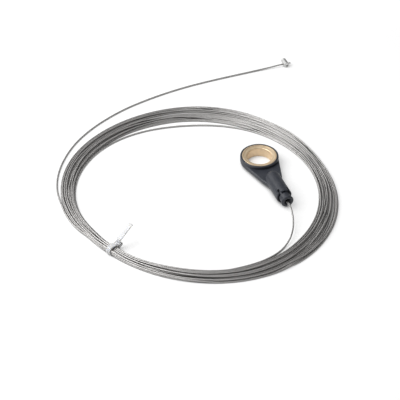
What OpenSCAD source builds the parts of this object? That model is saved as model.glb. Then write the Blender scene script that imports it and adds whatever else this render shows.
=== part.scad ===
// Spare measuring wire for a draw wire encoder: a moulded swivel eyelet with a
// brass bush, a stainless wire rope wound in a tied coil, and a barrel nipple.
// Millimetres, +Z up. The origin is the centre of the eyelet's bore at its
// lower face, +X runs along the stem towards the rope's exit.

/* [Eyelet] */
// Bore of the brass bush
bore_d = 20; // [16.5:0.5:24]
// Wall of the bush
bush_wall = 1.6; // [1.2:0.1:2]
// How far the bush's flange stands out
flange_w = 2.4; // [1.5:0.1:3]
// Thickness of the bush's flange
flange_t = 1.6; // [1:0.1:2]
// Wall of the moulded ring beside the flange
rim_w = 1.5; // [1:0.1:2]
// Height of the ring
ring_h = 8.5; // [7:0.1:10.5]
// Diameter of the stem
stem_d = 12.5; // [10.5:0.1:15]
// From the bore's centre to the end of the plug
reach = 59; // [49:0.5:71]
// Height of the flat web
web_h = 6; // [4.5:0.1:7]

/* [Rope] */
// Diameter of the wire rope
rope_d = 1.35; // [1.1:0.01:1.65]
// Mean diameter of the tied coil
coil_d = 199; // [165:1:240]
// Height of the coil
coil_h = 5.6; // [4.6:0.1:6.8]

/* [Fittings] */
// Diameter of the barrel nipple
nipple_d = 4.6; // [3.8:0.1:5.6]
// Length of the barrel nipple
nipple_l = 8.6; // [7.1:0.1:10.4]
// Width of the cable tie's strap
tie_w = 3.6; // [3:0.1:4.4]
// Thickness of the strap
strap_t = 1.1; // [0.9:0.1:1.3]

/* [Hidden] */

// clearances
fit = 0.05;      // seated parts, radial
run = 0.08;      // ferrule turning in its chamber, radial
end_play = 0.15; // ferrule in its chamber, each end

// brass bush
lip = 0.9;       // rounded mouth of the bore
bush_r = bore_d / 2 + bush_wall;
flange_r = bush_r + flange_w;

// moulded body
ring_r = flange_r + rim_w;
axis_z = stem_d / 2;
stem_r = stem_d / 2;
dome_x = 0.49 * reach;   // centre of the stem's round end
sleeve_x = reach - 7;    // open end of the stem
shoulder_x = reach - 16.5;
chamber_x = reach - 27;
chamber_r = 0.286 * stem_d;
seat_r = 0.36 * stem_d;  // bore that holds the plug
mouth_r = 0.424 * stem_d;
groove_r = 0.404 * stem_d;
notch_w = 0.15 * stem_d;

// plug
plug_r = seat_r - fit;
tip_r = 0.4 * stem_d;
hole_r = 0.16 * stem_d;
guide_r = rope_d / 2 + 0.35;
slot_w = 1.5;

// ferrule
ferrule_r = chamber_r - run;
ferrule_x0 = chamber_x + end_play;
ferrule_x1 = shoulder_x - end_play;

// coil: an oval ring, narrow where the tie pulls it together
rope_r = rope_d / 2;
coil_r = coil_d / 2;
tie_a = -62;     // direction of the tie from the coil's centre
// direction in which the rope joins the coil, which a smaller coil turns by
// to go round the eyelet
join_a = 22.3 + 0.2 * (coil_d - 199);
inner_r = coil_r - 8.6;
outer_r = coil_r + 2.7;
inner_long = 3.1; // half the straight run of the oval, inside
outer_long = 8.7; // and outside
inner_off = 1.4;  // inside moved towards the tie
outer_off = 2.3;  // outside moved away from it
coil_c = [reach + 45.5 - (coil_r - 4.4) * cos(join_a),
          -20.9 - (coil_r - 4.4) * sin(join_a)];
neck_in = inner_r + inner_off;
neck_w = outer_r - outer_off - neck_in;
neck_z = strap_t + 0.3;

// route of the rope from the ferrule to the coil, from the plug's end
lead = [[-16, 0, 0], [-9, 0, 0], [0, 0, 0], [4, -0.1, 0], [7.5, -0.5, -0.2],
        [11, -1.2, -0.7], [15, -2.1, -1.3], [19, -3.4, -1.9], [22.5, -4.8, -2.4],
        [26.5, -6.7, -2.8], [30, -8.8, -3.1], [34, -11.5, -3.3],
        [38, -14.4, -3.5], [42, -17.6, -3.6], [45.5, -20.9, -3.7]];
// route of the loose end, from the coil's centre, for a 199 mm coil
tail = [[8, -99, 2], [-5, -103.8, 1.2], [-20, -106.6, 0.8], [-38, -105.3, 0.7],
        [-56, -99.8, 0.7], [-74, -89.9, 0.7], [-91, -76, 0.7], [-105, -59, 0.7],
        [-116, -40.3, 0.7], [-124.3, -21, 0.7], [-130.4, 0, 0.7],
        [-134.7, 21, 0.7], [-137.4, 42, 0.7], [-138.7, 63, 0.7],
        [-139.3, 84, 0.7], [-139.6, 103, 0.8], [-139.4, 116, 1.3],
        [-139, 125, 2.1]];
tail_s = coil_r / 99.5;
nip_x = coil_c[0] - 138.7 * tail_s;
nip_y = coil_c[1] + 131.5 * tail_s;
nip_z = nipple_d / 2;

// ---- helpers -------------------------------------------------------------

// a point between b and c on a smooth curve through a, b, c, d
function between(a, b, c, d, t) =
    0.5 * (2 * b + (c - a) * t + (2 * a - 5 * b + 4 * c - d) * t * t
           + (3 * b - a - 3 * c + d) * t * t * t);
// n points to each stretch of the route p
function smooth(p, n) =
    [for (i = [0 : len(p) - 2]) for (k = [0 : n - 1])
        between(p[max(i - 1, 0)], p[i], p[i + 1], p[min(i + 2, len(p) - 1)], k / n),
     p[len(p) - 1]];
function unit(v) = v / norm(v);
function heading(p, i) =
    unit(p[min(i + 1, len(p) - 1)] - p[max(i - 1, 0)]);
function ring_at(c, t, r, n) =
    let (s = unit(cross([0, 0, 1], t)), u = cross(t, s))
    [for (k = [0 : n - 1]) c + r * (cos(360 * k / n) * s + sin(360 * k / n) * u)];

// a tube of n sides swept along the points p
module tube(p, r, n) {
    m = len(p);
    polyhedron(
        points = [for (i = [0 : m - 1]) each ring_at(p[i], heading(p, i), r, n)],
        faces = concat(
            [[for (k = [0 : n - 1]) k]],
            [for (i = [0 : m - 2]) for (k = [0 : n - 1])
                [i * n + k, (i + 1) * n + k, i * n + (k + 1) % n]],
            [for (i = [0 : m - 2]) for (k = [0 : n - 1])
                [i * n + (k + 1) % n, (i + 1) * n + k, (i + 1) * n + (k + 1) % n]],
            [[for (k = [n - 1 : -1 : 0]) (m - 1) * n + k]]));
}

// points of an arc about [x, y]
function arc(x, y, r, a, b, n) =
    [for (k = [0 : n]) [x + r * cos(a + (b - a) * k / n), y + r * sin(a + (b - a) * k / n)]];
// a rectangle about [0, 0] with round corners
function round_box(w, h, r) = concat(
    arc(w / 2 - r, h / 2 - r, r, 0, 90, 4), arc(r - w / 2, h / 2 - r, r, 90, 180, 4),
    arc(r - w / 2, r - h / 2, r, 180, 270, 4), arc(w / 2 - r, r - h / 2, r, 270, 360, 4));

// a solid turned about the stem's axis, from a profile of [along, radius]
module turned(profile) {
    translate([0, 0, axis_z]) rotate([0, 90, 0])
        rotate_extrude($fn = 72) polygon([for (p = profile) [p[1], p[0]]]);
}
// a plain bore about the stem's axis
module bore(x0, x1, r) {
    translate([x0, 0, axis_z]) rotate([0, 90, 0]) cylinder(h = x1 - x0, r = r, $fn = 72);
}

// ---- eyelet --------------------------------------------------------------

module ring_blank() {
    e = 0.7;
    b = 4.2;
    rotate_extrude($fn = 120) polygon(concat(
        [[0, 0]], arc(ring_r - b, b, b, -90, 0, 6),
        arc(ring_r - e, ring_h - e, e, 0, 90, 3), [[0, ring_h]]));
}

// cuts the upper and lower edge of the web's side that passes through [x, y]
// and faces the direction a
module bevels(x, y, a) {
    e = 0.6;
    b = 3.2;
    translate([x, y, 0]) rotate([0, 0, a]) {
        translate([0, 0, web_h - e]) rotate([0, -45, 0])
            translate([0, -120, -10]) cube([20, 160, 30]);
        translate([0, 0, b]) rotate([0, 45, 0])
            translate([0, -120, -20]) cube([20, 160, 30]);
    }
}

// the flat web, tangent to the ring and closing on the stem's sides
module web() {
    r = ring_r - 0.1;
    x1 = 0.465 * reach;
    y1 = 0.67 * stem_d;
    x2 = 0.565 * reach;
    y2 = 0.47 * stem_d;
    x3 = 0.6 * reach;
    y3 = 0.3 * stem_d;
    a = atan2(y1, x1) + acos(r / norm([x1, y1]));
    difference() {
        linear_extrude(web_h) polygon([
            [r * cos(a), r * sin(a)], [x1, y1], [x2, y2], [x3, y3],
            [x3, -y3], [x2, -y2], [x1, -y1], [r * cos(a), -r * sin(a)]]);
        for (s = [0, 1]) mirror([0, s, 0]) {
            bevels(x1, y1, a);
            bevels(x1, y1, atan2(x2 - x1, y1 - y2));
        }
    }
}

module stem() {
    e = 0.5;
    turned(concat(
        [[dome_x - stem_r, 0]],
        [for (k = [1 : 12]) [dome_x - stem_r * cos(7.5 * k), stem_r * sin(7.5 * k)]],
        [[sleeve_x - e, stem_r], [sleeve_x, stem_r - e], [sleeve_x, 0]]));
}

module eyelet_body() {
    color("#2b2d31") difference() {
        union() {
            ring_blank();
            web();
            stem();
        }
        // seat of the bush
        translate([0, 0, -1]) cylinder(h = ring_h + 2, r = bush_r + fit, $fn = 120);
        translate([0, 0, ring_h - flange_t]) cylinder(h = 20, r = flange_r + fit, $fn = 120);
        // chamber of the ferrule, seat and mouth of the plug
        bore(chamber_x, reach, chamber_r);
        bore(shoulder_x, reach, seat_r);
        bore(shoulder_x + 2.6, shoulder_x + 4.8, groove_r);
        bore(sleeve_x - 2.4, reach, mouth_r);
        // slots beside the plug's catch, open at the mouth
        for (s = [-1, 1])
            translate([0, 0, axis_z]) rotate([s * 40, 0, 0]) translate([0, 0, seat_r - 0.5]) {
                translate([sleeve_x - 3.4, -notch_w / 2, 0]) cube([6, notch_w, stem_r]);
                translate([sleeve_x - 3.4, 0, 0]) cylinder(h = stem_r, d = notch_w, $fn = 24);
            }
    }
}

module brass_bush() {
    color("#d9c08a") rotate_extrude($fn = 120) polygon(concat(
        [[bore_d / 2, 0], [bush_r, 0], [bush_r, ring_h - flange_t],
         [flange_r, ring_h - flange_t], [flange_r, ring_h - 0.25],
         [flange_r - 0.25, ring_h], [flange_r - 1, ring_h],
         [flange_r - 1.25, ring_h - 0.35]],
        arc(bore_d / 2 + lip, ring_h - 0.65 - lip, lip, 90, 180, 5)));
}

// plug with an annular catch, slotted along its whole length so that it goes
// over the rope from the side
module wire_plug() {
    x0 = shoulder_x;
    color("#26282c") difference() {
        turned([
            [x0, guide_r], [x0, plug_r - 0.3], [x0 + 0.3, plug_r],
            [x0 + 2.8, plug_r], [x0 + 3.1, groove_r - 0.15], [x0 + 3.7, groove_r - 0.15],
            [x0 + 4.6, plug_r], [reach - 6.2, plug_r], [reach - 2.9, plug_r - 0.35],
            [reach - 2.5, plug_r - 0.25], [reach - 2, tip_r - 0.2], [reach - 1.5, tip_r],
            [reach - 0.6, tip_r], [reach, tip_r - 0.6], [reach, hole_r + 1],
            [reach - 1.4, hole_r], [reach - 7.5, hole_r], [reach - 8.7, guide_r]]);
        translate([x0 - 1, 0, axis_z]) rotate([190, 0, 0])
            translate([0, -slot_w / 2, 0]) cube([reach - x0 + 2, slot_w, 10]);
    }
}

// crimped stop on the end of the rope, turning in the stem
module end_ferrule() {
    color("#b9bcc0") turned([
        [ferrule_x0, 0], [ferrule_x0, ferrule_r - 0.5], [ferrule_x0 + 0.5, ferrule_r],
        [ferrule_x1 - 0.5, ferrule_r], [ferrule_x1, ferrule_r - 0.5], [ferrule_x1, 0]]);
}

// ---- rope ----------------------------------------------------------------

module rope_lead() {
    color("#8f8f8d") tube(
        smooth([for (p = lead) [p[0] < -15 ? ferrule_x1 : reach + p[0], p[1], axis_z + p[2]]], 1),
        rope_r, 8);
}

module rope_tail() {
    color("#8f8f8d") tube(
        smooth(concat(
            [for (p = tail) [coil_c[0] + tail_s * p[0], coil_c[1] + tail_s * p[1],
                             max(p[2], rope_r)]],
            [[nip_x, nip_y, nip_z], [nip_x, nip_y + nipple_d / 2 + 2, nip_z]]), 3),
        rope_r, 8);
}

// an oval cake of height h with the outline p of its rim, [radius, z]
module oval(p, long) {
    for (s = [-1, 1]) translate([0, s * long, 0]) rotate_extrude($fn = 180) polygon(p);
    rotate([90, 0, 0]) linear_extrude(2 * long, center = true)
        polygon(concat(p, [for (i = [len(p) - 1 : -1 : 0]) [-p[i][0], p[i][1]]]));
}

module rope_coil() {
    e = 2.2;
    color("#8f8f8d") translate([coil_c[0], coil_c[1], 0]) rotate([0, 0, tie_a]) difference() {
        translate([-outer_off, 0, 0]) oval(concat(
            [[0, 0]], arc(outer_r - e, e, e, -90, 0, 4),
            arc(outer_r - e, coil_h - e, e, 0, 90, 4), [[0, coil_h]]), outer_long);
        translate([inner_off, 0, 0]) oval(concat(
            [[0, -1], [inner_r + e, -1]], arc(inner_r + e, e, e, -90, -180, 4),
            arc(inner_r + e, coil_h - e, e, 180, 90, 4),
            [[inner_r + e, coil_h + 1], [0, coil_h + 1]]), inner_long);
        // the turns are lifted over the strap
        translate([neck_in + neck_w / 2, 0, 0]) difference() {
            translate([-neck_w / 2 - 5, -tie_w / 2 - 0.5, -1])
                cube([neck_w + 10, tie_w + 1, coil_h / 2 + 1]);
            translate([0, tie_w / 2 + 1, (neck_z + coil_h) / 2]) rotate([90, 0, 0])
                linear_extrude(tie_w + 2)
                    polygon(round_box(neck_w, coil_h - neck_z, 0.45 * (coil_h - neck_z)));
        }
    }
}

module barrel_nipple() {
    e = 0.35;
    x = nip_x - 1.6;
    color("#a9abad") translate([x, nip_y, nip_z]) difference() {
        rotate([0, 90, 0]) translate([0, 0, -nipple_l / 2]) rotate_extrude($fn = 60)
            polygon([[0, 0], [nip_z - e, 0], [nip_z, e], [nip_z, nipple_l - e],
                     [nip_z - e, nipple_l], [0, nipple_l]]);
        translate([1.6, -nipple_d, 0]) rotate([-90, 0, 0])
            cylinder(h = 2 * nipple_d, r = rope_r + 0.03, $fn = 32);
        translate([nipple_l / 2 - 0.9, 0, 0]) rotate([0, 90, 0])
            cylinder(h = 2, r = 0.3 * nipple_d, $fn = 32);
    }
}

// ---- cable tie -----------------------------------------------------------

// the side view's x runs away from the coil's centre and its y is up
module cable_tie() {
    w = neck_w + 0.5;
    h0 = strap_t;
    h1 = coil_h + 0.3;
    q = w / 2;
    loop_r = 0.44 * (h1 - h0);
    head_w = tie_w + 1.2;
    color("#e9e8e2")
    translate([coil_c[0], coil_c[1], 0]) rotate([0, 0, tie_a])
        translate([neck_in + neck_w / 2, 0, 0]) rotate([90, 0, 0]) {
            // loop round the turns
            translate([0, (h0 + h1) / 2, -tie_w / 2]) linear_extrude(tie_w) difference() {
                polygon(round_box(w + 2 * strap_t, h1 - h0 + 2 * strap_t, loop_r + strap_t));
                polygon(round_box(w, h1 - h0, loop_r));
            }
            // head with its slot
            difference() {
                translate([-q - 4.2, 3.2, -head_w / 2]) cube([3.6, 3, head_w]);
                translate([-q - 3.2, 1, -tie_w / 2 - 0.15]) cube([strap_t + 0.5, 7, tie_w + 0.3]);
                translate([-q - 5, 4.6, -head_w]) rotate([0, 0, 45]) cube([3, 3, 2 * head_w]);
            }
            // pawl in the slot
            translate([-q - 3.5, 5.6, -tie_w / 2 + 0.5]) rotate([0, 0, -60])
                cube([1.6, 0.5, tie_w - 1]);
            // strap coming up through the head, and its free end
            translate([0, 0, -tie_w / 2]) linear_extrude(tie_w)
                polygon([[-q + 1, 0], [-q - 1.2, 0.5], [-q - 2.7, 1.7], [-q - 3.05, 3],
                         [-q - 3.05, 6.8], [-q - 3.6, 8], [-q - 15.4, 14.2], [-q - 16.3, 14.2],
                         [-q - 16.2, 15.2], [-q - 15.1, 15.3], [-q - 3, 8.9], [-q - 2, 7.2],
                         [-q - 2, 3.2], [-q - 1.7, 2.4], [-q - 0.9, 1.5], [-q + 1, 1]]);
        }
}

eyelet_body();
brass_bush();
wire_plug();
end_ferrule();
rope_lead();
rope_coil();
rope_tail();
barrel_nipple();
cable_tie();
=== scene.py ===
import math

import bpy
import numpy as np
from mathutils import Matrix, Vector


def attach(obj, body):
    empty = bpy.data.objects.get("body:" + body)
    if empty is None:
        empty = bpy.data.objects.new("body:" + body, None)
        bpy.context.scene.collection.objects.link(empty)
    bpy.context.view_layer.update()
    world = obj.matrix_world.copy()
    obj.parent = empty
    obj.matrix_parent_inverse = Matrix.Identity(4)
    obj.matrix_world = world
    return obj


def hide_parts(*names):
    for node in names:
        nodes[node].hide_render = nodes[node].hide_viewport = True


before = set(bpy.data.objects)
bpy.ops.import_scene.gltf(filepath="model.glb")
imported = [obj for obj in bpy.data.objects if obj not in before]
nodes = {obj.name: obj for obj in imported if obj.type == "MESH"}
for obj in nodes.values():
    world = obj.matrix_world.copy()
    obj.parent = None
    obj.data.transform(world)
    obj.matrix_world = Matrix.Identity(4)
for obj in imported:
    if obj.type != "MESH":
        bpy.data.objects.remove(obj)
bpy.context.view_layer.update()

# ---- camera ---------------------------------------------------------------

AZIMUTH, ELEVATION, DISTANCE = 70.2, 40.0, 1.0
TARGET = Vector((0.02688, -0.0604, 0.0))
az, el = math.radians(AZIMUTH), math.radians(ELEVATION)
back = Vector((math.sin(az) * math.cos(el), -math.cos(az) * math.cos(el), math.sin(el)))
cam_data = bpy.data.cameras.new("camera")
cam_data.lens = 115.4
cam_data.sensor_width = 36.0
cam_data.clip_start, cam_data.clip_end = 0.05, 20.0
cam = bpy.data.objects.new("camera", cam_data)
cam.location = TARGET + back * DISTANCE
cam.rotation_mode = "QUATERNION"
cam.rotation_quaternion = (-back).to_track_quat("-Z", "Y")
bpy.context.scene.collection.objects.link(cam)
bpy.context.scene.camera = cam

# ---- rope's centreline, in millimetres ------------------------------------

MM = 0.001                  # one millimetre, in metres
D = 1.35                    # diameter of the rope
H = D / 2
REACH, AXIS_Z = 59.0, 6.25  # end of the plug, height of the stem's axis
COIL_R = 99.5               # mean radius of the coil
JOIN = 22.3                 # direction in which the rope joins the coil
JOIN_IN = 4.4               # how far inside the mean radius it joins
TIE = -62.0                 # direction of the cable tie
NECK_IN, NECK_OUT = 92.3, 99.9   # inner and outer radius of the turns at the tie
CEILING = 4.85              # highest centreline in the coil
TURNS = 15
S = 240                     # stations to a turn
STEP = 360.0 / S            # degrees from one station to the next
LEAD_N, TAIL_N = 6, 8       # points to a stretch of the lead and of the loose end
LEAVE = 2 * TAIL_N          # point of the loose end at which it leaves the coil

# how the turns lie: lanes are mixed by SHUFFLE lanes and stray by WANDER of the
# coil's width, heights stray by LIFT, each over that many stations, and the
# turns gather in bands across the coil
SEED, SHUFFLE = 16, 2.0
WANDER, WANDER_SPAN = 0.07, 70
LIFT, LIFT_SPAN = 0.35, 60
BANDS, CLUMP = 3, 1.0

# near the tie: half widths in degrees of the neck, of the turns beside it and
# of the strap, how far the turns keep in from the inner and the outer edge
# beside the tie, how much less in the neck itself, and how high the strap is
NECK_SPAN, BESIDE_SPAN, STRAP_SPAN = 20.0, 26.0, 4.0
BESIDE_IN, BESIDE_OUT = 1.6, 1.4
LESS_IN, LESS_OUT = 1.0, 1.2
STRAP_LIFT = 1.25

# the first turn lies inside the others here: by how much, with its middle and
# half width in degrees, and the room that it gets beyond that
LOOSE_BY, LOOSE_AT, LOOSE_SPAN = 6.9, 169, 31
LOOSE_MORE, LOOSE_ROOM = 0.4, 1.0

# places along the rope, in degrees from where the lead joins the coil
COME_IN = (0, 30)           # it comes in from the lead
FIND_LANE = (-10, 70)       # it finds its lane across the coil
LOOSEN, TIGHTEN = (40, 75), (250, 300)
# and from where the loose end begins
LAST_LANE = (-110, -40)     # it goes to the outermost lane
RUN_OUT = (-12, 6)          # it leaves the coil
INNERMOST, OUTERMOST = -0.6, 1.5   # lanes in which the turns begin and end
END_ROOM = 8                # room to come in and to leave
SOFT_RANK = 0.02            # how softly lanes are told apart
SWAY = 1.6                  # how far the bands drift sideways, as a phase in radians
START_Z, START_LIFT = 0.6, 2.0     # low turns start this high, and high ones higher
FALL, FALL_MORE = 0.02, 0.05       # high turns sink this fast, and low ones faster
FIRST_FREE = -4             # first station that is free
HELD_BEFORE, HELD_AFTER = 10, 110  # stations held before and after the free ones

# relaxation of the turns: number of steps, share of them that is early, and
# (early, late) values
STEPS, EARLY = 500, 0.75
PULL = (0.06, 0.01)         # towards the turn's own lane
SINK = (1.0, 0.5)           # towards the floor
EVEN_PASSES, PUSH_PASSES = (3, 2), (2, 5)
EVEN, PUSH = 0.35, 1.1      # strength of the smoothing and of the pushing apart

# route from the ferrule to the coil, from the plug's end, and route of the
# loose end from the coil's centre, as the CAD model has them
LEAD = [[-16, 0, 0], [-9, 0, 0], [0, 0, 0], [4, -0.1, 0], [7.5, -0.5, -0.2],
        [11, -1.2, -0.7], [15, -2.1, -1.3], [19, -3.4, -1.9], [22.5, -4.8, -2.4],
        [26.5, -6.7, -2.8], [30, -8.8, -3.1], [34, -11.5, -3.3],
        [38, -14.4, -3.5], [42, -17.6, -3.6], [45.5, -20.9, -3.7]]
TAIL = [[8, -99, 2], [-5, -103.8, 1.2], [-20, -106.6, 0.8], [-38, -105.3, 0.7],
        [-56, -99.8, 0.7], [-74, -89.9, 0.7], [-91, -76, 0.7], [-105, -59, 0.7],
        [-116, -40.3, 0.7], [-124.3, -21, 0.7], [-130.4, 0, 0.7],
        [-134.7, 21, 0.7], [-137.4, 42, 0.7], [-138.7, 63, 0.7],
        [-139.3, 84, 0.7], [-139.6, 103, 0.8], [-139.4, 116, 1.3],
        [-139, 125, 2.1], [-138.7, 131.5, 2.3], [-138.7, 135.8, 2.3]]

# centre of the coil
CX = REACH + LEAD[-1][0] - (COIL_R - JOIN_IN) * math.cos(math.radians(JOIN))
CY = LEAD[-1][1] - (COIL_R - JOIN_IN) * math.sin(math.radians(JOIN))

# inner and outer radius of the loose turns round the coil, as the first terms
# of a Fourier series in the direction
IN = (93.1, -0.3, -1.5, -0.4, 2.9, 0.9, 0.5, 0.4, -0.3)
OUT = (108.0, -2.4, 1.5, 2.7, 3.4, 0.6, 1.5, -0.4, -0.6)


def series(c, a):
    """Fourier series with the terms c at the angles a."""
    v = c[0] + 0 * a
    for k in range(1, (len(c) + 1) // 2):
        v = v + c[2 * k - 1] * np.cos(k * a) + c[2 * k] * np.sin(k * a)
    return v


def smooth(p, n):
    """n points to each stretch of a smooth curve through p."""
    p = np.asarray(p, float)
    q = np.concatenate([p[:1], p, p[-1:]])
    t = (np.arange(n) / n)[None, :, None]
    a, b, c, d = (q[k:len(q) - 3 + k, None, :] for k in range(4))
    v = 0.5 * (2 * b + (c - a) * t + (2 * a - 5 * b + 4 * c - d) * t * t
               + (3 * b - a - 3 * c + d) * t ** 3)
    return np.concatenate([v.reshape(-1, p.shape[1]), p[-1:]])


def wander(rng, n, span):
    """A smooth random curve of n samples that changes over span samples."""
    fine = 64
    k = rng.standard_normal((int(n / span) + 5, 1))
    v = smooth(k, fine)[:, 0]
    return np.interp(np.arange(n) / span * fine, np.arange(len(v)), v)


def step(x, a, b):
    """0 below a, 1 above b, smooth between."""
    t = np.clip((x - a) / (b - a), 0, 1)
    return t * t * (3 - 2 * t)


def centreline():
    """The whole rope: lead, turns and loose end. The turns start in wandering
    lanes across the coil and are then pushed apart, pulled down and kept
    smooth until they lie beside and on each other."""
    rng = np.random.default_rng(SEED)
    lead = smooth(np.array(LEAD) + [REACH, 0, AXIS_Z], LEAD_N)
    tail = smooth(np.array(TAIL) + [CX, CY, 0], TAIL_N)

    def polar(p):
        x, y = p[:, 0] - CX, p[:, 1] - CY
        return JOIN - np.degrees(np.unwrap(np.arctan2(y, x))), np.hypot(x, y)

    lead_phi, lead_r = polar(lead)
    lead_phi -= 360 * round(lead_phi[-1] / 360)
    tail_phi, tail_r = polar(tail)
    tail_phi += 360 * (TURNS - math.floor(tail_phi[0] / 360))
    # stations j0 to j1 are free, and those before and after them are held
    j0, j1 = FIRST_FREE, math.ceil(tail_phi[LEAVE] / STEP)
    j = np.arange(j0 - HELD_BEFORE, j1 + HELD_AFTER)
    phi = j * STEP
    th = np.radians(JOIN - phi)
    deg = np.degrees(th)
    n = len(j)

    # room for the turns in millimetres: inside, outside and floor, with the
    # neck at the tie, where the strap runs under them
    off_tie = (deg - TIE + 180) % 360 - 180
    near = np.exp(-np.abs(off_tie / NECK_SPAN) ** 2.5)
    beside = np.exp(-(off_tie / BESIDE_SPAN) ** 2)
    on_strap = np.exp(-(off_tie / STRAP_SPAN) ** 4)
    r_in, r_out = series(IN, th), series(OUT, th)
    lo = r_in + (NECK_IN - r_in) * near + H + (BESIDE_IN - LESS_IN * near) * beside
    hi = r_out + (NECK_OUT - r_out) * near - H + (BESIDE_OUT - LESS_OUT * near) * beside
    floor = H + STRAP_LIFT * on_strap

    # a table has a row for each turn and a column for each station of a turn
    rows = (j[-1] + S) // S + 1
    idx = j + S
    one, two = np.triu_indices(rows, 1)

    def table(v, fill):
        """The values v of all stations as a table, its gaps filled."""
        m = np.repeat(fill, S)
        m[idx] = v
        return m.reshape(rows, S)

    # lanes: each turn's place across the coil, spread evenly at every station;
    # the rope's first and last stretch go to the lanes at the coil's edges
    order = np.argsort(np.arange(TURNS + 1) + SHUFFLE * rng.standard_normal(TURNS + 1))
    mid = np.arange(TURNS + 1) + 0.5
    u = np.interp(phi / 360, mid, (order + 0.5) / (TURNS + 1))
    u = u + WANDER * wander(rng, n, WANDER_SPAN)
    up = np.interp(phi / 360, mid, order % 2.0) + LIFT * wander(rng, n, LIFT_SPAN)
    up = np.clip(up, 0, 1)
    u += (INNERMOST - u) * (1 - step(phi, *FIND_LANE))
    last = step(phi, tail_phi[0] + LAST_LANE[0], tail_phi[0] + LAST_LANE[1])
    u += (OUTERMOST - u) * last
    turn = (phi >= j0 * STEP) & (phi < j1 * STEP)
    loose_turn = step(phi, *LOOSEN) * (1 - step(phi, *TIGHTEN))
    there = table(turn * (1 - loose_turn), np.zeros(rows))
    lane = table(u, np.zeros(rows))
    below = sum(there[k] / (1 + np.exp((lane[k] - lane) / SOFT_RANK))
                for k in range(rows))
    below = (below - 0.5 * there) / np.maximum(there.sum(0) - there, 1)
    u = np.clip(below.reshape(-1)[idx], 0, 1)
    band = 2 * np.pi * BANDS
    u = u - CLUMP * np.sin(band * u + SWAY * np.sin(th + 1)) / band
    want = lo + u * (hi - lo)
    # the first turn lies inside the others
    off_loose = (deg - LOOSE_AT + 180) % 360 - 180
    loose = LOOSE_BY * np.exp(-(off_loose / LOOSE_SPAN) ** 2)
    want += loose_turn * (lo - LOOSE_MORE - loose - want)
    lo = lo - loose_turn * (LOOSE_ROOM + loose)
    # it comes in from the lead
    enter = 1 - step(phi, *COME_IN)
    want += enter * (np.interp(phi, lead_phi, lead_r) - want)
    lo = lo - END_ROOM * enter
    # the last one runs out over the edge of the coil
    leave = step(phi, tail_phi[0] + RUN_OUT[0], tail_phi[LEAVE] + RUN_OUT[1])
    want += leave * (tail_r[LEAVE] - want)
    hi = hi + END_ROOM * leave

    free = (j >= j0) & (j < j1)
    ends = j < j0
    r_end = np.where(ends, np.interp(phi, lead_phi, lead_r),
                     np.interp(phi, tail_phi, tail_r))
    z_end = np.where(ends, np.interp(phi, lead_phi, lead[:, 2]),
                     np.interp(phi, tail_phi, tail[:, 2]))
    r = np.where(free, want, r_end)
    z = np.where(free, floor + START_Z + START_LIFT * up, z_end)
    fall = FALL + FALL_MORE * (1 - up)

    # of two turns that push each other, a held one stays and a free one moves
    free_rows = table(free.astype(float), np.zeros(rows))
    a_free, b_free = free_rows[one], free_rows[two]
    a_share = a_free / np.maximum(a_free + b_free, 1)
    b_share = b_free / np.maximum(a_free + b_free, 1)
    away = 1e6 + 100.0 * np.arange(rows)     # a radius at which nothing pushes
    for i in range(STEPS):
        late = i > EARLY * STEPS
        r += PULL[late] * (want - r)
        z -= fall * SINK[late]
        for _ in range(EVEN_PASSES[late]):
            r[1:-1] += EVEN * (0.5 * (r[:-2] + r[2:]) - r[1:-1])
            z[1:-1] += EVEN * (0.5 * (z[:-2] + z[2:]) - z[1:-1])
        r, z = np.where(free, r, r_end), np.where(free, z, z_end)
        for _ in range(PUSH_PASSES[late]):
            mr, mz = table(r, away), table(z, 0.0 * away)
            dr, dz = mr[one] - mr[two], mz[one] - mz[two]
            gap = np.hypot(dr, dz) + 1e-9
            push = np.clip(D - gap, 0, None) / gap * PUSH
            by_r, by_z = np.zeros((rows, S)), np.zeros((rows, S))
            np.add.at(by_r, one, push * dr * a_share)
            np.add.at(by_r, two, -push * dr * b_share)
            np.add.at(by_z, one, push * dz * a_share)
            np.add.at(by_z, two, -push * dz * b_share)
            r = np.clip(r + 0.5 * by_r.reshape(-1)[idx], lo, hi)
            z = np.clip(z + 0.5 * by_z.reshape(-1)[idx], floor, CEILING)
            r, z = np.where(free, r, r_end), np.where(free, z, z_end)
    turns = np.stack([CX + r * np.cos(th), CY + r * np.sin(th), z], 1)[free]
    return np.concatenate([lead[lead_phi < (j0 - 0.5) * STEP], turns,
                           tail[tail_phi > (j1 - 0.5) * STEP]])


def resampled(p, pitch):
    """Points at an even pitch along a smooth curve through p, and its length."""
    p = smooth(p, 4)
    s = np.concatenate([[0], np.cumsum(np.linalg.norm(np.diff(p, axis=0), axis=1))])
    n = int(round(s[-1] / pitch)) + 1
    t = np.linspace(0, s[-1], n)
    q = np.stack([np.interp(t, s, p[:, k]) for k in range(3)], 1)
    for _ in range(6):        # rounds off the corners between the samples
        q[1:-1] = 0.25 * q[:-2] + 0.5 * q[1:-1] + 0.25 * q[2:]
    return q, np.linalg.norm(np.diff(q, axis=0), axis=1).sum()


# ---- rope's mesh ----------------------------------------------------------

STRANDS = 6
LAY = 9.4                       # length in which the strands turn once round
CREST, VALLEY = 1.04 * H, 0.975 * H   # radius on a strand and between two
FLOOR_GAP = 0.00002             # the mesh stays this far above the floor, metres


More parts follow.
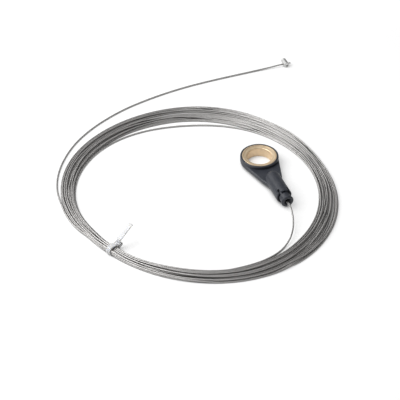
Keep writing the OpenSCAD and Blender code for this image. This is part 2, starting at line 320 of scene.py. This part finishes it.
def rope_mesh(p, pitch):
    """A tube along p whose section has a lobe for each strand, turning once
    round in each lay. Its UV map runs round the section and along the rope."""
    n, m = len(p), 2 * STRANDS
    t = np.gradient(p, axis=0)
    t /= np.linalg.norm(t, axis=1)[:, None]
    side = np.cross([0.0, 0.0, 1.0], t)
    side /= np.linalg.norm(side, axis=1)[:, None]
    up = np.cross(t, side)
    s = np.arange(n) * pitch
    a = (np.arange(m) * 2 * np.pi / m)[None, :] - (2 * np.pi * s / LAY)[:, None]
    rad = np.where(np.arange(m) % 2 == 0, CREST, VALLEY)[None, :, None]
    v = p[:, None, :] + rad * (np.cos(a)[..., None] * side[:, None, :]
                               + np.sin(a)[..., None] * up[:, None, :])
    v = v.reshape(-1, 3) * MM
    v[:, 2] = np.maximum(v[:, 2], FLOOR_GAP)
    # a face between each pair of neighbours on two rings, and a cap at each end
    i, k = np.meshgrid(np.arange(n - 1), np.arange(m), indexing="ij")
    k1 = (k + 1) % m
    quads = np.stack([i * m + k, (i + 1) * m + k, (i + 1) * m + k1, i * m + k1], -1)
    quads = quads[..., ::-1].reshape(-1, 4)
    me = bpy.data.meshes.new("rope")
    caps = [list(range(m)), list(range((n - 1) * m, n * m))[::-1]]
    nf = len(quads)
    me.vertices.add(len(v))
    me.vertices.foreach_set("co", v.astype(np.float32).ravel())
    loops = np.concatenate([quads.ravel(), caps[0], caps[1]]).astype(np.int32)
    me.loops.add(len(loops))
    me.loops.foreach_set("vertex_index", loops)
    me.polygons.add(nf + 2)
    starts = np.concatenate([np.arange(nf) * 4, [nf * 4, nf * 4 + m]]).astype(np.int32)
    me.polygons.foreach_set("loop_start", starts)
    # UV: once round the section is 1, and so is one lay along the rope
    uv = np.zeros((len(loops), 2), np.float32)
    u0, v0 = k / m, i * pitch / LAY
    quad_uv = np.stack([np.stack([u0, v0], -1), np.stack([u0, v0 + pitch / LAY], -1),
                        np.stack([u0 + 1 / m, v0 + pitch / LAY], -1),
                        np.stack([u0 + 1 / m, v0], -1)], 2)[:, :, ::-1, :]
    uv[:nf * 4] = quad_uv.reshape(-1, 2)
    layer = me.uv_layers.new(name="along")
    layer.data.foreach_set("uv", uv.ravel())
    me.update(calc_edges=True)
    me.validate()
    me.polygons.foreach_set("use_smooth", np.ones(len(me.polygons), bool))
    me.update()
    ob = bpy.data.objects.new("wire_rope", me)
    bpy.context.scene.collection.objects.link(ob)
    return ob


points, rope_length = resampled(centreline(), 1.0)
rope = rope_mesh(points, rope_length / (len(points) - 1))
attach(rope, "rope")
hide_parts("rope_lead", "rope_coil", "rope_tail")

# ---- materials ------------------------------------------------------------


def material(name, **values):
    m = bpy.data.materials.new(name)
    m.use_nodes = True
    tree = m.node_tree
    shader = tree.nodes["Principled BSDF"]
    for k, v in values.items():
        shader.inputs[k.replace("_", " ")].default_value = v
    return m, tree, shader


def add(tree, kind, **values):
    node = tree.nodes.new(kind)
    for k, v in values.items():
        if hasattr(node, k):
            setattr(node, k, v)
        else:
            node.inputs[k.replace("_", " ")].default_value = v
    return node


def ramp(tree, source, stops):
    node = tree.nodes.new("ShaderNodeValToRGB")
    while len(node.color_ramp.elements) < len(stops):
        node.color_ramp.elements.new(0.5)
    for e, (pos, col) in zip(node.color_ramp.elements, stops):
        e.position = pos
        e.color = col if len(col) == 4 else (*col, 1.0)
    tree.links.new(source, node.inputs[0])
    return node


def bump(tree, shader, height, strength, distance):
    node = add(tree, "ShaderNodeBump", Strength=strength, Distance=distance)
    tree.links.new(height, node.inputs["Height"])
    tree.links.new(node.outputs[0], shader.inputs["Normal"])


def drive(tree, shader, socket, source, stops):
    """Lets the shader's socket follow the source through a colour ramp."""
    tree.links.new(ramp(tree, source, stops).outputs[0], shader.inputs[socket])


def on_object(tree, node):
    """Lays a texture in the object's own coordinates."""
    at = add(tree, "ShaderNodeTexCoord")
    tree.links.new(at.outputs["Object"], node.inputs["Vector"])
    return node.outputs["Fac"]


def noise(tree, scale, detail):
    return on_object(tree, add(tree, "ShaderNodeTexNoise", Scale=scale, Detail=detail))


def grey(v):
    return (v, v, v)


def black_plastic():
    m, t, s = material("black_plastic", Specular_IOR_Level=0.5)
    grain, cloud = noise(t, 2600.0, 3.0), noise(t, 140.0, 4.0)
    drive(t, s, "Base Color", cloud,
          [(0.3, (0.026, 0.030, 0.041)), (0.7, (0.040, 0.044, 0.056))])
    drive(t, s, "Roughness", cloud, [(0.3, grey(0.40)), (0.7, grey(0.52))])
    bump(t, s, grain, 0.25, 0.00006)
    return m


def brass():
    m, t, s = material("brass", Metallic=0.62)
    rings = on_object(t, add(t, "ShaderNodeTexWave", wave_type="RINGS",
                             rings_direction="Z", Scale=900.0, Distortion=1.2,
                             Detail=2.0, Detail_Scale=3.0))
    cloud = noise(t, 220.0, 5.0)
    drive(t, s, "Base Color", cloud,
          [(0.3, (0.80, 0.62, 0.41)), (0.7, (0.87, 0.70, 0.49))])
    drive(t, s, "Roughness", cloud, [(0.3, grey(0.38)), (0.7, grey(0.48))])
    bump(t, s, rings, 0.15, 0.00003)
    return m


def steel():
    m, t, s = material("steel", Metallic=1.0)
    marks, cloud = noise(t, 900.0, 4.0), noise(t, 300.0, 3.0)
    drive(t, s, "Base Color", cloud,
          [(0.3, (0.64, 0.64, 0.635)), (0.7, (0.76, 0.76, 0.75))])
    drive(t, s, "Roughness", marks, [(0.3, grey(0.42)), (0.7, grey(0.56))])
    bump(t, s, marks, 0.2, 0.00005)
    return m


def nylon():
    m, t, s = material("nylon", Transmission_Weight=0.12, IOR=1.5,
                       Subsurface_Weight=0.9, Subsurface_Scale=0.004)
    s.inputs["Subsurface Radius"].default_value = (1.0, 0.95, 0.85)
    cloud = noise(t, 500.0, 3.0)
    drive(t, s, "Base Color", cloud,
          [(0.3, (0.93, 0.93, 0.92)), (0.7, (0.97, 0.97, 0.96))])
    drive(t, s, "Roughness", cloud, [(0.3, grey(0.34)), (0.7, grey(0.46))])
    bump(t, s, cloud, 0.15, 0.00004)
    return m


WIRES_ALONG, WIRES_ROUND = 14, 18   # wires crossed in one lay and once round
COLOUR_A, COLOUR_B, COLOUR_RESULT = 6, 7, 2   # a Mix node's colour sockets


def angle(tree, source, count):
    """The source as an angle that goes round count times in one unit."""
    node = add(tree, "ShaderNodeMath", operation="MULTIPLY_ADD")
    node.inputs[1].default_value = 2 * math.pi * count
    node.inputs[2].default_value = 0.0
    tree.links.new(source, node.inputs[0])
    return node


def wave(tree, function, node):
    out = add(tree, "ShaderNodeMath", operation=function)
    tree.links.new(node.outputs[0], out.inputs[0])
    return out.outputs[0]


def multiplied(tree, a, b):
    mix = add(tree, "ShaderNodeMix", data_type="RGBA", blend_type="MULTIPLY")
    mix.inputs["Factor"].default_value = 1.0
    tree.links.new(a, mix.inputs[COLOUR_A])
    tree.links.new(b, mix.inputs[COLOUR_B])
    return mix.outputs[COLOUR_RESULT]


def rope_steel():
    """Painted shade in the grooves between the strands, the wires of each strand
    as fine stripes across it with painted shade between the wires, and painted
    shade in the crevices between the turns from an occlusion node."""
    m, t, s = material("rope_steel", Metallic=1.0, Roughness=0.47)
    uv = add(t, "ShaderNodeUVMap", uv_map="along")
    part = add(t, "ShaderNodeSeparateXYZ")
    t.links.new(uv.outputs[0], part.inputs[0])
    around, along = part.outputs["X"], part.outputs["Y"]
    stripes = angle(t, along, WIRES_ALONG)
    t.links.new(angle(t, around, WIRES_ROUND).outputs[0], stripes.inputs[2])
    strands = wave(t, "COSINE", angle(t, around, STRANDS))
    wires = wave(t, "SINE", stripes)
    # painted shade: an occlusion node darkens the base colour in the crevices between the
    # turns
    crevice = add(t, "ShaderNodeAmbientOcclusion", samples=8, Distance=0.0025)
    # the steel's own tone on the crests, with painted shade in the grooves between the
    # strands
    tone_and_groove_shade = ramp(t, strands, [(0.0, (0.45, 0.435, 0.42)), (0.4, (0.665, 0.656, 0.648)),
                               (1.0, (0.785, 0.782, 0.785))])
    # painted shade between the wires of a strand
    shade = ramp(t, wires, [(0.0, grey(0.85)), (0.5, grey(1.0))])
    painted_crevice_shade = ramp(t, crevice.outputs["AO"], [(0.15, (0.36, 0.35, 0.34)), (0.62, grey(1.0))])
    colour = multiplied(t, tone_and_groove_shade.outputs[0], shade.outputs[0])
    t.links.new(multiplied(t, colour, painted_crevice_shade.outputs[0]), s.inputs["Base Color"])
    bump(t, s, wires, 0.12, 0.00003)
    return m


def dress(mat, *objects):
    for ob in objects:
        ob.data.materials.clear()
        ob.data.materials.append(mat)


dress(black_plastic(), nodes["eyelet_body"], nodes["wire_plug"])
dress(brass(), nodes["brass_bush"])
dress(steel(), nodes["end_ferrule"], nodes["barrel_nipple"])
dress(nylon(), nodes["cable_tie"])
dress(rope_steel(), rope)

# ---- floor, light and background ------------------------------------------

WHITE = (1.0, 1.0, 1.0, 1.0)
FLOOR_Z = -0.00005
FLOOR_GREY = (0.58, 0.58, 0.58, 1.0)
WORLD_LIGHT = 0.2


def math_node(tree, operation, a, b):
    node = add(tree, "ShaderNodeMath", operation=operation)
    tree.links.new(a, node.inputs[0])
    tree.links.new(b, node.inputs[1])
    return node.outputs[0]


def mixed(tree, factor, a, b):
    gate = add(tree, "ShaderNodeMixShader")
    for source, socket in zip((factor, a, b), gate.inputs):
        tree.links.new(source, socket)
    return gate.outputs[0]


def floor_material():
    """A grey floor with a glow over it that makes it white to the camera."""
    m, t, s = material("floor", Base_Color=FLOOR_GREY, Roughness=0.9)
    glow = add(t, "ShaderNodeEmission", Color=WHITE)
    # painted shade: an occlusion node takes the glow away between the turns and
    #     close round the parts, and the glow grows from 0.3 to 0.9 m from the floor's
    #     centre
    floor_shade_occlusion = add(t, "ShaderNodeAmbientOcclusion", samples=16, Distance=0.012)
    clear = ramp(t, floor_shade_occlusion.outputs["AO"], [(0.25, grey(0.0)), (0.58, grey(1.0))])
    here = add(t, "ShaderNodeTexCoord")
    apart = add(t, "ShaderNodeVectorMath", operation="LENGTH")
    t.links.new(here.outputs["Object"], apart.inputs[0])
    far = ramp(t, apart.outputs["Value"], [(0.3, grey(0.5)), (0.9, grey(1.0))])
    strength = math_node(t, "MULTIPLY", clear.outputs[0], far.outputs[0])
    t.links.new(strength, glow.inputs["Strength"])
    # it is seen directly, mirrored or through something, and lights nothing dull
    path = add(t, "ShaderNodeLightPath")
    seen = math_node(t, "MAXIMUM", path.outputs["Is Camera Ray"],
                     path.outputs["Is Glossy Ray"])
    seen = math_node(t, "MAXIMUM", seen, path.outputs["Is Transmission Ray"])
    both = add(t, "ShaderNodeAddShader")
    t.links.new(s.outputs[0], both.inputs[0])
    t.links.new(glow.outputs[0], both.inputs[1])
    surface = mixed(t, seen, s.outputs[0], both.outputs[0])
    t.links.new(surface, t.nodes["Material Output"].inputs["Surface"])
    return m


bpy.ops.mesh.primitive_plane_add(size=6.0, location=(TARGET.x, TARGET.y, FLOOR_Z))
floor = bpy.context.object
floor.name = "floor"
floor.data.materials.append(floor_material())

# the world lights the object a little and is white to the camera
world = bpy.data.worlds.new("world")
bpy.context.scene.world = world
world.use_nodes = True
tree = world.node_tree
light = tree.nodes["Background"]
light.inputs["Color"].default_value = WHITE
light.inputs["Strength"].default_value = WORLD_LIGHT
white = add(tree, "ShaderNodeBackground", Color=WHITE, Strength=1.0)
path = add(tree, "ShaderNodeLightPath")
sky = mixed(tree, path.outputs["Is Camera Ray"], light.outputs[0], white.outputs[0])
tree.links.new(sky, tree.nodes["World Output"].inputs["Surface"])


def lamp(name, place, size, power):
    """An area lamp at a place from TARGET, turned towards it."""
    data = bpy.data.lights.new(name, "AREA")
    data.shape = "RECTANGLE"
    data.size, data.size_y = size
    data.energy = power
    ob = bpy.data.objects.new(name, data)
    ob.location = (TARGET.x + place[0], TARGET.y + place[1], place[2])
    ob.rotation_mode = "QUATERNION"
    ob.rotation_quaternion = (TARGET - ob.location).to_track_quat("-Z", "Y")
    bpy.context.scene.collection.objects.link(ob)


lamp("overhead", (0.0, 0.0, 1.5), (1.6, 1.6), 3.0)
lamp("key", (-0.27, -0.75, 0.96), (1.1, 1.1), 16.5)
lamp("rim", (-0.95, -0.1, 0.46), (0.9, 0.5), 1.3)

bpy.context.scene.view_settings.view_transform = "Standard"
